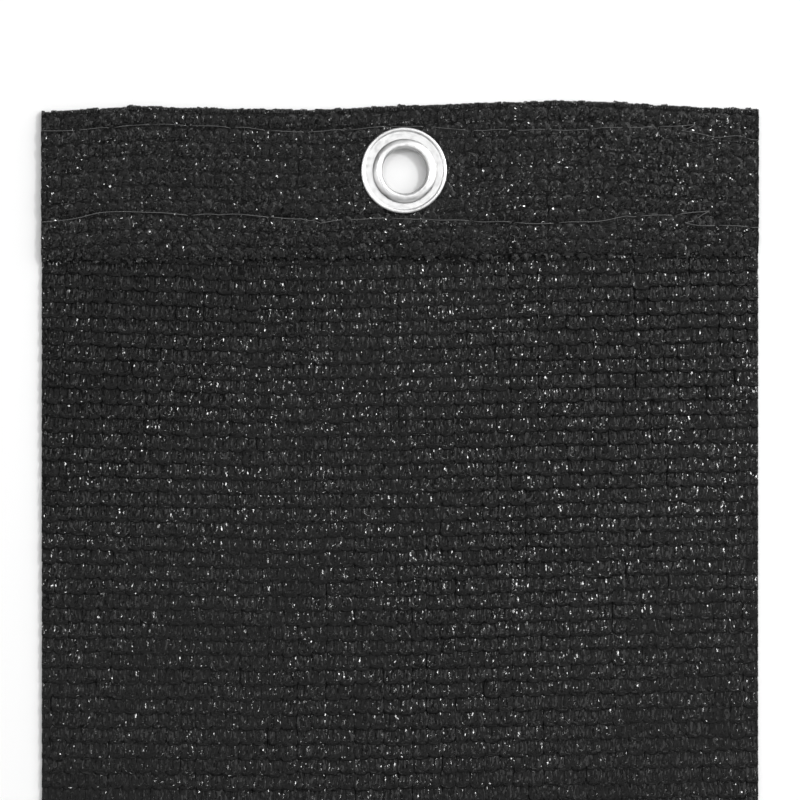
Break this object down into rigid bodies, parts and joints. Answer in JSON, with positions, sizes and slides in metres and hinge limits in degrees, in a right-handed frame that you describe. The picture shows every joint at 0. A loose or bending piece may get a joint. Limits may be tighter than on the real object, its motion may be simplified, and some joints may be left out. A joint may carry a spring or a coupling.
{
  "type": "knitted privacy screen, cut length with hem and eyelet",
  "caption": "Cut length of dense dark knitted privacy screening, lying flat, with a hem folded over to the front, two seam lines and a round metal eyelet through the hem.",
  "frame": {"origin": "middle of the cut length's underside, on the surface that it lies on", "axes": "+X along the hem, +Y up the cloth to the hem, +Z out of the cloth's face"},
  "size_m": [0.2, 0.24, 0.0042],
  "materials": {
    "cloth": "anthracite polyethylene tape, knitted, with a slight plastic gloss",
    "eyelet_metal": "bright nickel plate with a soft polish",
    "seam_thread": "clear monofilament sewing thread"
  },
  "bodies": {
    "root": {"panel": "cloth", "hem": "cloth", "eyelet": "eyelet_metal", "eyelet_washer": "eyelet_metal"}
  },
  "joints": []
}
